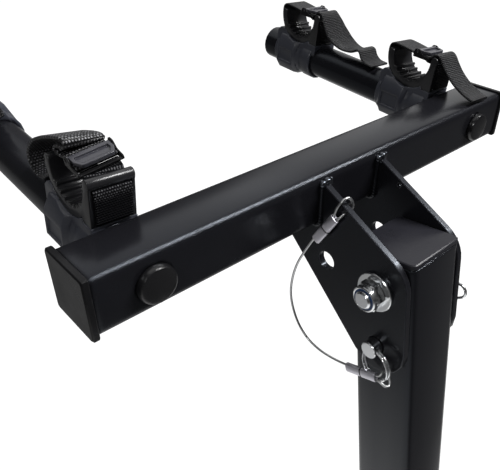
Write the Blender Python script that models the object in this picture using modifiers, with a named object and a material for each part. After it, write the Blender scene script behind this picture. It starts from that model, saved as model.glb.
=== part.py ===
"""A hitch bike rack: receiver shank, upright mast and a folding head with two support arms and four cradles.

Sizes are in millimetres, and each finished mesh is scaled to metres once. +X is to the right, +Y is away from the
vehicle and +Z is up. The origin is on the underside of the shank, straight below its hitch-pin hole.
"""

import math

import bmesh
import bpy
from mathutils import Euler, Matrix, Vector

MM = 0.001
GAP = 0.3  # air between faces that touch on the real rack
WELD = 0.002  # points this close are one point

# Shank and foot
TUBE_2IN = 50.8
SHANK_WALL = 4.8
SHANK_FRONT = -76.2
HITCH_HOLE_D = 16.0
PLATE = 5.0  # thickness of every welded or turning plate
FOOT_BOLT_HEIGHTS = (105.0, 168.0)

# Mast
MAST_Y = 250.0
MAST_WALL = 3.0
MAST_FOOT = TUBE_2IN + 1.2
MAST_LENGTH = 711.0
MAST_TOP = MAST_FOOT + MAST_LENGTH
MAST_CAP = 3.7
PIVOT_DROP = 25.8  # from the top of the mast's cap down to the pivot
PIVOT_Z = MAST_TOP + GAP + MAST_CAP - PIVOT_DROP

# Pivot, locking pin and their hardware
BOLT_D = 12.7
HOLE_D = BOLT_D + 2 * GAP
NUT_FLATS = 19.0
WASHER_D = 28.6
WASHER = 2.2
LOCK_RADIUS = 45.0  # from the pivot to the locking pin and to the free hole
FOLD = math.radians(98.0)
LOCK_HOLE_D = 14.3
RING_RADIUS = 12.0
RING_WIRE = 1.7
RING_HOLE = 5.2
CLIP_WIRE = 2.2
CABLE_D = 1.8
SLEEVE = 27.0

# Head: everything from here on is in the crossbar's frame, whose origin is the crossbar's centre
HEAD_TILT = math.radians(8.0)
BAR = 38.1
BAR_WALL = 2.8
BAR_LENGTH = 392.0
BAR_CAP = 4.3
BAR_CAP_LIP = 1.2
PIVOT_TO_BAR = Vector((0.0, 73.2, 45.5))
PLATE_X = TUBE_2IN / 2 + 1.1 + PLATE / 2  # middle of each side plate

# Support arms
ARM_X = 160.5
ARM_D = 31.75
ARM_WALL = 2.0
ARM_NECK_D = 22.2
ARM_END = 236.0
ARM_RISE = math.radians(3.2)
PLUG_D = 24.2
PLUG_PROUD = 4.8

# Cradles: side, distance along the arm from the crossbar's centre, and turn about the arm
CRADLE_PLACES = {
    "left_front": (-1, 46.9, math.radians(3)),
    "left_rear": (-1, 206.8, math.radians(-24)),
    "right_front": (1, 50.3, math.radians(4)),
    "right_rear": (1, 190.0, math.radians(3)),
}
CUP_RADIUS = 19.4
CUP_WALL = 5.6
CUP_HALF = 14.2
LIP_RADIUS = 3.3
RIBS = 7
RIB_HEIGHT = 1.8
COLLAR_FRONT = -22.5
COLLAR_REAR = 29.0
STRAP_WIDTH = 25.0
STRAP_THICK = 2.0
SHORT_STRAP_WIDTH = 23.5
SHORT_STRAP_THICK = 1.4

ALONG_X = (0.0, math.radians(90), 0.0)
ALONG_Y = (math.radians(-90), 0.0, 0.0)
SIDE_VIEW = (math.radians(90), 0.0, math.radians(90))  # outline (y, z), thickness along X

for old in list(bpy.data.objects):
    bpy.data.objects.remove(old)
rack = bpy.data.collections.new("hitch_bike_rack")
bpy.context.scene.collection.children.link(rack)


# Materials
def finish(name, colour, roughness, metallic=0.0):
    made = bpy.data.materials.new(name)
    made.use_nodes = True
    shader = made.node_tree.nodes["Principled BSDF"]
    shader.inputs["Base Color"].default_value = (*colour, 1.0)
    shader.inputs["Roughness"].default_value = roughness
    shader.inputs["Metallic"].default_value = metallic
    return made


PAINT = finish("black_powder_coat", (0.022, 0.022, 0.025), 0.35)
ZINC = finish("bright_zinc", (0.62, 0.64, 0.66), 0.25, 1.0)
ALUMINIUM = finish("sleeve_aluminium", (0.70, 0.70, 0.74), 0.35, 1.0)
CABLE = finish("steel_cable", (0.34, 0.34, 0.33), 0.4, 1.0)
NYLON = finish("blue_nylon", (0.02, 0.05, 0.14), 0.4)
PLASTIC = finish("black_plastic", (0.016, 0.016, 0.017), 0.45)
MOULDED = finish("moulded_nylon", (0.035, 0.037, 0.045), 0.5)
SOFT = finish("soft_liner", (0.028, 0.028, 0.03), 0.65)
WEBBING = finish("webbing", (0.018, 0.018, 0.019), 0.8)


# Outlines and points
def rounded(corners, steps=4):
    """Outline through (a, b, radius) corners, each an arc of that radius."""
    points = []
    for i, (a, b, radius) in enumerate(corners):
        here = Vector((a, b))
        if radius == 0:
            points.append(here)
            continue
        before = (Vector(corners[i - 1][:2]) - here).normalized()
        after = (Vector(corners[(i + 1) % len(corners)][:2]) - here).normalized()
        half = math.acos(before.dot(after)) / 2
        centre = here + (before + after).normalized() * radius / math.sin(half)
        start = here + before * radius / math.tan(half) - centre
        end = here + after * radius / math.tan(half) - centre
        sweep = math.atan2(start.x * end.y - start.y * end.x, start.dot(end))
        points += [centre + Matrix.Rotation(sweep * k / steps, 2) @ start for k in range(steps + 1)]
    return points


def rectangle(width, height, radius, steps=3):
    a, b = width / 2, height / 2
    return rounded([(-a, -b, radius), (a, -b, radius), (a, b, radius), (-a, b, radius)], steps)


def circle(radius, sides, centre=(0.0, 0.0)):
    turn = 2 * math.pi / sides
    return [Vector((centre[0] + radius * math.cos(turn * k), centre[1] + radius * math.sin(turn * k)))
            for k in range(sides)]


def spot(radius, angle, centre=(0.0, 0.0)):
    """Point of a circle at an angle in degrees."""
    turn = math.radians(angle)
    return Vector((centre[0] + radius * math.cos(turn), centre[1] + radius * math.sin(turn)))


def arc(radius, start, end, steps, centre=(0.0, 0.0)):
    """Points from the start angle to the end angle, in degrees."""
    return [spot(radius, start + (end - start) * k / steps, centre) for k in range(steps + 1)]


def hexagon(flats, limit, sides=24):
    """Hexagon with its corners turned down to the limit radius."""
    points = []
    for k in range(sides):
        turn = 2 * math.pi * k / sides
        off = (turn + math.pi / 6) % (math.pi / 3) - math.pi / 6
        radius = min(flats / 2 / math.cos(off), limit)
        points.append(Vector((radius * math.cos(turn), radius * math.sin(turn))))
    return points


def level(outline, height):
    return [(a, b, height) for a, b in outline]


def smooth(points, spacing):
    """A curve through the points, read off about every spacing (centripetal Catmull-Rom)."""
    points = [Vector(p) for p in points]
    ends = [2 * points[0] - points[1], *points, 2 * points[-1] - points[-2]]
    made = []
    for p0, p1, p2, p3 in zip(ends, ends[1:], ends[2:], ends[3:]):
        t1 = (p1 - p0).length ** 0.5
        t2 = t1 + (p2 - p1).length ** 0.5
        t3 = t2 + (p3 - p2).length ** 0.5
        steps = max(1, round((p2 - p1).length / spacing))
        for k in range(steps):
            t = t1 + (t2 - t1) * k / steps
            a1 = p0.lerp(p1, t / t1)
            a2 = p1.lerp(p2, (t - t1) / (t2 - t1))
            a3 = p2.lerp(p3, (t - t2) / (t3 - t2))
            b1 = a1.lerp(a2, t / t2)
            b2 = a2.lerp(a3, (t - t1) / (t3 - t1))
            made.append(b1.lerp(b2, (t - t1) / (t2 - t1)))
    return [*made, points[-1]]


def ribbon(path, thickness):
    """Outline of a slot of that thickness whose middle follows the path."""
    left, right = [], []
    for i, here in enumerate(path):
        along = (path[min(i + 1, len(path) - 1)] - path[max(i - 1, 0)]).normalized()
        side = Vector((-along.y, along.x)) * thickness / 2
        left.append(here + side)
        right.append(here - side)
    return left + right[::-1]


def least_gap(points, diameter):
    """Smallest gap between stretches of a wire that aren't next to each other along it."""
    lengths = [0.0]
    for a, b in zip(points, points[1:]):
        lengths.append(lengths[-1] + (b - a).length)
    apart = [(a - b).length for i, a in enumerate(points) for j, b in enumerate(points[:i])
             if lengths[i] - lengths[j] > 4 * diameter]
    return min(apart) - diameter


# Meshes, all in millimetres until they are shown
def tidied(mesh):
    work = bmesh.new()
    work.from_mesh(mesh)
    bmesh.ops.remove_doubles(work, verts=work.verts, dist=WELD)
    bmesh.ops.dissolve_degenerate(work, edges=work.edges, dist=WELD)
    bmesh.ops.recalc_face_normals(work, faces=work.faces)
    work.to_mesh(mesh)
    work.free()
    return mesh


def evaluated(data, set_up=None):
    """Mesh of a curve or mesh after the modifiers that set_up puts on it."""
    guide = bpy.data.objects.new("guide", data)
    bpy.context.scene.collection.objects.link(guide)
    if set_up:
        set_up(guide)
    graph = bpy.context.evaluated_depsgraph_get()
    mesh = bpy.data.meshes.new_from_object(guide.evaluated_get(graph))
    bpy.data.objects.remove(guide)
    return tidied(mesh)


def prism(outlines, depth):
    """Flat outlines, the first one outside and the rest holes, drawn out evenly to both sides."""
    curve = bpy.data.curves.new("outline", "CURVE")
    curve.dimensions = "2D"
    curve.fill_mode = "BOTH"
    curve.extrude = depth / 2
    for outline in outlines:
        spline = curve.splines.new("POLY")
        spline.points.add(len(outline) - 1)
        for point, (a, b) in zip(spline.points, outline):
            point.co = (a, b, 0.0, 1.0)
        spline.use_cyclic_u = True
    return evaluated(curve)


def turned(profile, steps, ring=False):
    """Profile of (radius, height) points turned about Z; a ring's profile is closed."""
    mesh = bpy.data.meshes.new("profile")
    edges = [(i, i + 1) for i in range(len(profile) - 1)]
    if ring:
        edges.append((len(profile) - 1, 0))
    mesh.from_pydata([(radius, 0.0, height) for radius, height in profile], edges, [])

    def set_up(guide):
        screw = guide.modifiers.new("turn", "SCREW")
        screw.steps = screw.render_steps = steps
        screw.use_merge_vertices = True
        screw.merge_threshold = 0.0001

    return evaluated(mesh, set_up)


def stack(rings, closed=False):
    """Skin over rings of equally many points; closed joins the last ring to the first."""
    work = bmesh.new()
    loops = [[work.verts.new(point) for point in ring] for ring in rings]
    pairs = list(zip(loops, loops[1:]))
    if closed:
        pairs.append((loops[-1], loops[0]))
    else:
        work.faces.new(loops[0])
        work.faces.new(loops[-1])
    for low, high in pairs:
        for i in range(len(low)):
            j = (i + 1) % len(low)
            work.faces.new((low[i], low[j], high[j], high[i]))
    mesh = bpy.data.meshes.new("stack")
    work.to_mesh(mesh)
    work.free()
    return tidied(mesh)


def band(path, width, thickness):
    """Strap through points that each hold a place and the direction across the strap."""
    places = [Vector(point[:3]) for point in path]
    rings = []
    for i, here in enumerate(places):
        along = (places[min(i + 1, len(places) - 1)] - places[max(i - 1, 0)]).normalized()
        across = Vector(path[i][3:])
        across = (across - across.dot(along) * along).normalized()
        side = across * width / 2
        up = along.cross(across) * thickness / 2
        rings.append([here + side + up, here + side - up, here - side - up, here - side + up])
    return stack(rings)


def wire(points, diameter, sides=8):
    """Round wire or cable through the points, with closed ends."""
    curve = bpy.data.curves.new("wire", "CURVE")
    curve.dimensions = "3D"
    curve.bevel_depth = diameter / 2
    curve.bevel_resolution = sides // 2 - 2
    curve.use_fill_caps = True
    spline = curve.splines.new("POLY")
    spline.points.add(len(points) - 1)
    for point, place in zip(spline.points, points):
        point.co = (*place, 1.0)
    return evaluated(curve)


def bar(diameter, length, sides=24):
    """Plain round bar along Z, centred."""
    work = bmesh.new()
    bmesh.ops.create_cone(work, cap_ends=True, segments=sides, radius1=diameter / 2, radius2=diameter / 2, depth=length)
    mesh = bpy.data.meshes.new("bar")
    work.to_mesh(mesh)
    work.free()
    return mesh


def block(size, edge=0.0, segments=2):
    """Box with rounded edges, centred."""
    work = bmesh.new()
    bmesh.ops.create_cube(work, size=1.0)
    bmesh.ops.scale(work, vec=size, verts=work.verts)
    if edge:
        bmesh.ops.bevel(work, geom=work.edges, offset=edge, segments=segments, profile=0.5, affect="EDGES")
    mesh = bpy.data.meshes.new("block")
    work.to_mesh(mesh)
    work.free()
    return mesh


def softened(mesh, width, segments=1):
    """The mesh with its sharp edges bevelled."""
    def set_up(guide):
        bevel = guide.modifiers.new("edges", "BEVEL")
        bevel.width = width
        bevel.segments = segments
        bevel.limit_method = "ANGLE"
        bevel.angle_limit = math.radians(50)

    return evaluated(mesh, set_up)


def moved(mesh, location=(0.0, 0.0, 0.0), rotation=(0.0, 0.0, 0.0)):
    mesh.transform(Matrix.LocRotScale(Vector(location), Euler(rotation), None))
    return mesh


def combined(mesh, others, operation):
    """The mesh with each of the others joined to it (UNION) or cut out of it (DIFFERENCE)."""
    tools = []

    def set_up(guide):
        for other in others:
            tool = bpy.data.objects.new("tool", other)
            bpy.context.scene.collection.objects.link(tool)
            tools.append(tool)
            step = guide.modifiers.new("combine", "BOOLEAN")
            step.operation = operation
            step.solver = "EXACT"
            step.object = tool

    made = evaluated(mesh, set_up)
    for tool in tools:
        bpy.data.objects.remove(tool)
    return made


def joined(mesh, *others):
    return combined(mesh, others, "UNION")


def cut(mesh, *others):
    return combined(mesh, others, "DIFFERENCE")


# Placing
def frame(name, parent=None, location=(0.0, 0.0, 0.0), rotation=(0.0, 0.0, 0.0)):
    """An empty that carries pieces."""
    empty = bpy.data.objects.new(name, None)
    rack.objects.link(empty)
    empty.parent = parent
    empty.location = Vector(location) * MM
    empty.rotation_euler = rotation
    empty.empty_display_size = 0.02
    return empty


def ready(mesh, material):
    """Scales a finished mesh to metres and gives it its material."""
    mesh.transform(Matrix.Scale(MM, 4))
    mesh.materials.clear()
    mesh.materials.append(material)
    mesh.shade_smooth()
    mesh.set_sharp_from_angle(angle=math.radians(35))
    return mesh


def piece(name, mesh, parent=None, location=(0.0, 0.0, 0.0), rotation=(0.0, 0.0, 0.0)):
    obj = bpy.data.objects.new(name, mesh)
    obj.data.name = name
    rack.objects.link(obj)
    obj.parent = parent
    obj.location = Vector(location) * MM
    obj.rotation_euler = rotation
    return obj


# Shared shapes
def square_tube(size, wall, corner, length):
    outside = rectangle(size, size, corner, 3)
    inside = rectangle(size - 2 * wall, size - 2 * wall, max(corner - wall, 0.8), 1)
    return prism([outside, inside], length)


def drilled_plate(outline, holes):
    """Plate across X with softened edges and holes given as (diameter, sides, y, z)."""
    plate = softened(moved(prism([outline], PLATE), rotation=SIDE_VIEW), 0.6)
    drills = [moved(bar(diameter, 2 * PLATE, sides), (0.0, y, z), ALONG_X) for diameter, sides, y, z in holes]
    return ready(cut(plate, *drills), PAINT)


def tube_plug(size, wall, radius, thickness, lip, depth):
    """Square end cap with a hollow plug behind it. Its outer face is at z = 0 and it runs to +z."""
    edge = 0.8
    outer = size + 2 * lip
    plug = size - 2 * wall - 2 * GAP
    hollow = plug - 4.0
    sections = [
        (outer - 2 * edge, 0.0),
        (outer, edge),
        (outer, thickness - edge / 2),
        (outer - edge, thickness),
        (plug, thickness),
        (plug, depth),
        (hollow, depth),
        (hollow, thickness + 2.0),
    ]
    return stack([level(rectangle(width, width, radius * width / outer, 2), z) for width, z in sections])


def hex_bolt(under_head, end):
    """Hex bolt along Z: the head is above under_head and the thread ends at end."""
    head = 8.0
    limit = NUT_FLATS / 2 - 0.2
    radius = BOLT_D / 2
    return stack([
        level(hexagon(NUT_FLATS, limit), under_head + head),
        level(hexagon(NUT_FLATS, NUT_FLATS), under_head + head - 1.3),
        level(hexagon(NUT_FLATS, NUT_FLATS), under_head),
        level(circle(radius, 24), under_head),
        level(circle(radius, 24), end + 1.2),
        level(circle(radius - 1.2, 24), end),
    ])


def lock_nut(face):
    """Nut with a round collar for its nylon ring; it sits below the face, towards -Z."""
    bore = BOLT_D / 2 + GAP
    collar = 9.3
    seat = 7.9
    limit = NUT_FLATS / 2 - 0.2
    return stack([
        level(circle(bore, 24), face),
        level(hexagon(NUT_FLATS, limit), face),
        level(hexagon(NUT_FLATS, NUT_FLATS), face - 0.9),
        level(hexagon(NUT_FLATS, NUT_FLATS), face - 6.0),
        level(hexagon(NUT_FLATS, collar + 0.1), face - 7.2),
        level(circle(collar, 24), face - 9.6),
        level(circle(collar - 0.9, 24), face - 10.3),
        level(circle(seat, 24), face - 10.0),
        level(circle(seat, 24), face - 7.2),
        level(circle(bore, 24), face - 7.2),
    ], closed=True)


def washer(outer, thickness, edge=0.0):
    """Flat washer round the bolt, from z = 0 to its thickness, with its outer edge taken off."""
    bore = BOLT_D / 2 + GAP
    rim = [(outer / 2, thickness)]
    if edge:
        rim = [(outer / 2 - edge, thickness), (outer / 2, thickness - edge)]
    return turned([*rim, (outer / 2, 0.0), (bore, 0.0), (bore, thickness)], 24, ring=True)


# Shank and foot
def build_foot():
    rear = MAST_Y + TUBE_2IN / 2 + 6.0
    length = rear - SHANK_FRONT
    tube = moved(square_tube(TUBE_2IN, SHANK_WALL, 5.0, length), rotation=ALONG_Y)
    hole = moved(bar(HITCH_HOLE_D, 80.0), (0.0, -(SHANK_FRONT + length / 2), 0.0), ALONG_X)
    piece("shank_tube", ready(cut(tube, hole), PAINT), location=(0.0, SHANK_FRONT + length / 2, TUBE_2IN / 2))

    low, high = 8.0, FOOT_BOLT_HEIGHTS[1] + 26.0
    outline = rounded([
        (-60.0, low, 8.0), (31.0, low, 8.0), (31.0, 70.0, 20.0), (26.0, high, 14.0),
        (-26.0, high, 14.0), (-31.0, 92.0, 30.0),
    ])
    holes = [(HOLE_D, 20, 0.0, z) for z in FOOT_BOLT_HEIGHTS]
    plate = drilled_plate(outline, holes)
    reach = TUBE_2IN / 2 + GAP + PLATE / 2
    for side, sign in (("left", -1), ("right", 1)):
        piece(f"foot_plate_{side}", plate, location=(sign * reach, MAST_Y, 0.0))

    outer = reach + PLATE / 2 + GAP
    bolt = ready(moved(hex_bolt(outer, -outer - 12.5), rotation=ALONG_X), ZINC)
    nut = ready(moved(lock_nut(-outer), rotation=ALONG_X), ZINC)
    for name, z in zip(("lower", "upper"), FOOT_BOLT_HEIGHTS):
        piece(f"foot_bolt_{name}", bolt, location=(0.0, MAST_Y, z))
        piece(f"foot_nut_{name}", nut, location=(0.0, MAST_Y, z))


# Mast and the pivot's hardware
def build_mast():
    tube = square_tube(TUBE_2IN, MAST_WALL, 5.0, MAST_LENGTH)
    middle = MAST_FOOT + MAST_LENGTH / 2
    heights = (*FOOT_BOLT_HEIGHTS, PIVOT_Z - LOCK_RADIUS, PIVOT_Z)
    holes = [moved(bar(HOLE_D + 0.6, 80.0, 12), (0.0, 0.0, z - middle), ALONG_X) for z in heights]
    piece("mast_tube", ready(cut(tube, *holes), PAINT), location=(0.0, MAST_Y, middle))
    cap = tube_plug(TUBE_2IN, MAST_WALL, 3.2, MAST_CAP, 0.0, 15.0)
    piece("mast_top_cap", ready(cap, PLASTIC), location=(0.0, MAST_Y, MAST_TOP + GAP + MAST_CAP),
          rotation=(math.pi, 0.0, 0.0))

    pivot = (0.0, MAST_Y, PIVOT_Z)
    plate_face = PLATE_X + PLATE / 2 + GAP
    stack_face = plate_face + WASHER + GAP
    piece("pivot_bolt", ready(moved(hex_bolt(stack_face, -stack_face - 12.0), rotation=ALONG_X), ZINC),
          location=pivot)
    piece("pivot_nut", ready(moved(lock_nut(-stack_face), rotation=ALONG_X), ZINC), location=pivot)
    ring = turned([(7.6, 2.4), (7.6, 0.0), (BOLT_D / 2 + GAP, 0.0), (BOLT_D / 2 + GAP, 2.4)], 24, ring=True)
    piece("pivot_nut_ring", ready(moved(ring, rotation=ALONG_X), NYLON),
          location=(-stack_face - 9.9, MAST_Y, PIVOT_Z))

    plain = ready(moved(washer(WASHER_D, WASHER, 0.5), rotation=ALONG_X), ZINC)
    spacer = ready(moved(washer(26.0, 0.5), rotation=ALONG_X), PLASTIC)
    for side, turn, sign in (("left", math.pi, -1), ("right", 0.0, 1)):
        piece(f"pivot_washer_{side}", plain, location=(sign * plate_face, MAST_Y, PIVOT_Z), rotation=(0.0, 0.0, turn))
        piece(f"pivot_spacer_{side}", spacer, location=(sign * (TUBE_2IN / 2 + GAP), MAST_Y, PIVOT_Z),
              rotation=(0.0, 0.0, turn))

    # The pin is parted at the mast's faces, so that the head can fold with the pin in place.
    inside = ready(moved(bar(BOLT_D, TUBE_2IN + 0.8), rotation=ALONG_X), ZINC)
    piece("lock_pin_middle", inside, location=(0.0, MAST_Y, PIVOT_Z - LOCK_RADIUS))


# Head
PIVOT_IN_BAR = -PIVOT_TO_BAR
LOCK_HOLE = PIVOT_IN_BAR + LOCK_RADIUS * Vector((0.0, math.cos(-FOLD), math.sin(-FOLD)))
FREE_HOLE = PIVOT_IN_BAR + LOCK_RADIUS * Vector((0.0, 1.0, 0.0))
LANYARD_HOLE = Vector((0.0, -40.5, -0.9))


def build_crossbar(head):
    tube = moved(square_tube(BAR, BAR_WALL, 4.0, BAR_LENGTH), rotation=ALONG_X)
    necks = []
    for sign in (-1, 1):
        neck = moved(bar(ARM_NECK_D + 2 * GAP, 60.0), rotation=ALONG_Y)
        necks.append(moved(neck, (sign * ARM_X, 0.0, 0.0), (ARM_RISE, 0.0, 0.0)))
    piece("crossbar_tube", ready(cut(tube, *necks), PAINT), head)

    cap = ready(moved(tube_plug(BAR, BAR_WALL, 1.8, BAR_CAP, BAR_CAP_LIP, 18.0), rotation=ALONG_X), PLASTIC)
    end = BAR_LENGTH / 2 + GAP + BAR_CAP
    piece("crossbar_cap_left", cap, head, (-end, 0.0, 0.0))
    piece("crossbar_cap_right", cap, head, (end, 0.0, 0.0), (0.0, 0.0, math.pi))

    profile = [(0.0, -PLUG_PROUD), (9.4, -PLUG_PROUD), (11.3, -4.2), (PLUG_D / 2, -2.6),
               (PLUG_D / 2, 0.0), (8.4, 0.0), (8.4, 11.0), (0.0, 11.0)]
    plug = ready(moved(turned(profile, 28), rotation=ALONG_Y), PLASTIC)
    drop = -BAR / 2 * math.tan(ARM_RISE)
    for side, sign in (("left", -1), ("right", 1)):
        piece(f"arm_plug_{side}", plug, head, (sign * ARM_X, -BAR / 2 - GAP, drop))


def build_side_plates(head):
    notch = -BAR / 2 - GAP
    outline = rounded([
        (notch, 13.7, 0.0),
        (-94.8, -22.6, 25.0),
        (-111.6, -150.5, 24.0),
        (BAR / 2, -30.8, 2.0),
        (BAR / 2, notch, 0.0),
        (notch, notch, 0.0),
    ], 6)
    holes = [(HOLE_D, PIVOT_IN_BAR, 20), (LOCK_HOLE_D, LOCK_HOLE, 20), (LOCK_HOLE_D, FREE_HOLE, 20),
             (3.8, LANYARD_HOLE, 8)]
    plate = drilled_plate(outline, [(diameter, sides, hole.y, hole.z) for diameter, hole, sides in holes])
    piece("side_plate_left", plate, head, (-PLATE_X, 0.0, 0.0))
    piece("side_plate_right", plate, head, (PLATE_X, 0.0, 0.0))


def build_arms(arms):
    outer, inner = ARM_D / 2, ARM_D / 2 - ARM_WALL
    neck, bore = ARM_NECK_D / 2, ARM_NECK_D / 2 - 1.8
    shoulder = BAR / 2 + 1.0
    profile = [(outer, ARM_END), (outer, shoulder + 0.8), (outer - 0.8, shoulder), (neck, shoulder),
               (neck, -18.2), (bore, -18.2), (bore, shoulder + 1.5), (inner, shoulder + 5.0), (inner, ARM_END)]
    tube = ready(moved(turned(profile, 24, ring=True), rotation=ALONG_Y), PAINT)
    dome = [(0.0, 4.6), (6.0, 4.1), (11.0, 2.8), (14.4, 1.1), (outer - 0.1, 0.0), (inner - GAP, 0.0),
            (inner - GAP, -12.0), (0.0, -12.0)]
    cap = ready(moved(turned(dome, 24), rotation=ALONG_Y), PLASTIC)
    for side, arm in arms.items():
        piece(f"arm_tube_{side}", tube, arm)
        piece(f"arm_end_cap_{side}", cap, arm, (0.0, ARM_END + GAP, 0.0))


# Locking pin, ring, clip and lanyard
RING_PASS = Vector((-36.4, LOCK_HOLE.y, LOCK_HOLE.z))  # where the ring goes through the pin's head
RING_DOWN = Vector((0.0, 0.0, -1.0))
RING_ACROSS = Vector((-math.sin(math.radians(10)), -math.cos(math.radians(10)), 0.0))
RING_CENTRE = RING_PASS + RING_RADIUS * (0.84 * RING_DOWN + 0.543 * RING_ACROSS)
RING_NORMAL = RING_DOWN.cross(RING_ACROSS)
RING_TURNS = 1.85
RING_PITCH = RING_WIRE + 0.5


def ring_points(radius, turns, pitch, per_turn=20):
    """Helix about the ring's axis, starting on the side away from the pin."""
    away = (RING_CENTRE - RING_PASS).normalized()
    beside = RING_NORMAL.cross(away)
    count = round(turns * per_turn)
    points = []
    for k in range(count + 1):
        angle = 2 * math.pi * k / per_turn
        lift = pitch * (k / per_turn - 1.0)
        points.append(RING_CENTRE + radius * (math.cos(angle) * away + math.sin(angle) * beside) + lift * RING_NORMAL)
    return points


def build_lock_pin(head):
    radius = BOLT_D / 2
    inner_end = TUBE_2IN / 2 + 0.7
    head_end = 39.9
    profile = [(0.0, -head_end), (radius - 0.5, -head_end), (radius, -head_end + 0.5), (radius, -inner_end),
               (0.0, -inner_end)]
    body = moved(turned(profile, 28), (0.0, LOCK_HOLE.y, LOCK_HOLE.z), ALONG_X)
    circle_points = ring_points(RING_RADIUS, 1.0, 0.0, 28)[:-1]
    passage = bmesh.new()
    sides = 10
    rows = []
    for point in circle_points:
        outward = (point - RING_CENTRE).normalized()
        rows.append([passage.verts.new(point + RING_HOLE / 2 * (math.cos(2 * math.pi * k / sides) * outward
                                                      + math.sin(2 * math.pi * k / sides) * RING_NORMAL))
                     for k in range(sides)])
    for i, row in enumerate(rows):
        after = rows[(i + 1) % len(rows)]
        for k in range(sides):
            passage.faces.new((row[k], after[k], after[(k + 1) % sides], row[(k + 1) % sides]))
    torus = bpy.data.meshes.new("ring_passage")
    passage.to_mesh(torus)
    passage.free()
    piece("lock_pin_head", ready(cut(body, tidied(torus)), ZINC), head)

    turns = ring_points(RING_RADIUS, RING_TURNS, RING_PITCH)
    print(f"split ring: least gap between its turns {least_gap(turns, RING_WIRE):.2f} mm")
    piece("lock_pin_ring", ready(wire(turns, RING_WIRE, 6), ZINC), head)

    tail = stack([
        level(circle(radius, 24), inner_end),
        level(circle(radius, 24), 45.6),
        level(circle(radius - 1.4, 24), 47.0),
    ])
    clip_x = 39.5
    towards_loop = Vector((0.0, -0.79, 0.613))
    beside = Vector((0.0, 0.613, 0.79))
    centre = Vector((clip_x, LOCK_HOLE.y, LOCK_HOLE.z))
    tail = moved(tail, (0.0, LOCK_HOLE.y, LOCK_HOLE.z), ALONG_X)
    slope = math.atan2(towards_loop.z, towards_loop.y)
    cross_hole = moved(bar(CLIP_WIRE + 0.8, 30.0, 12), centre, (slope - math.pi / 2, 0.0, 0.0))
    piece("lock_pin_tail", ready(cut(tail, cross_hole), ZINC), head)

    leg = [Vector((p, 0.0)) for p in (-20.0, -10.0, 0.0, 10.0, 18.0)]
    loop = arc(5.6, -90.0, 200.0, 11, (26.0, 5.6))
    spring = [Vector(p) for p in ((16.0, 2.9), (11.5, 3.3), (7.9, 5.2), (4.4, 7.4), (0.0, 8.6), (-4.4, 7.4),
                                  (-8.0, 5.6), (-12.0, 5.6), (-16.0, 8.0))]
    route = smooth([centre + p * towards_loop + q * beside for p, q in leg + loop + spring], 3.5)
    print(f"hairpin clip: least gap between its legs {least_gap(route, CLIP_WIRE):.2f} mm")
    piece("hairpin_clip", ready(wire(route, CLIP_WIRE, 6), ZINC), head)


UPPER_SLEEVE = (Vector((-38.0, -23.0, -27.0)), Vector((0.0707, -0.509, 0.859)), Vector((0.0, 0.86, 0.51)))
LOWER_SLEEVE = (Vector((-42.3, -65.3, -115.1)), Vector((0.0, -0.938, 0.347)), Vector((0.0, 0.347, 0.938)))
SLEEVE_BORE = 2.5
SLEEVE_SPREAD = 1.55  # each bore's distance from the sleeve's middle


def along_sleeve(sleeve, share, side):
    start, direction, across = sleeve
    return start + direction * SLEEVE * share + across * SLEEVE_SPREAD * side


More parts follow.
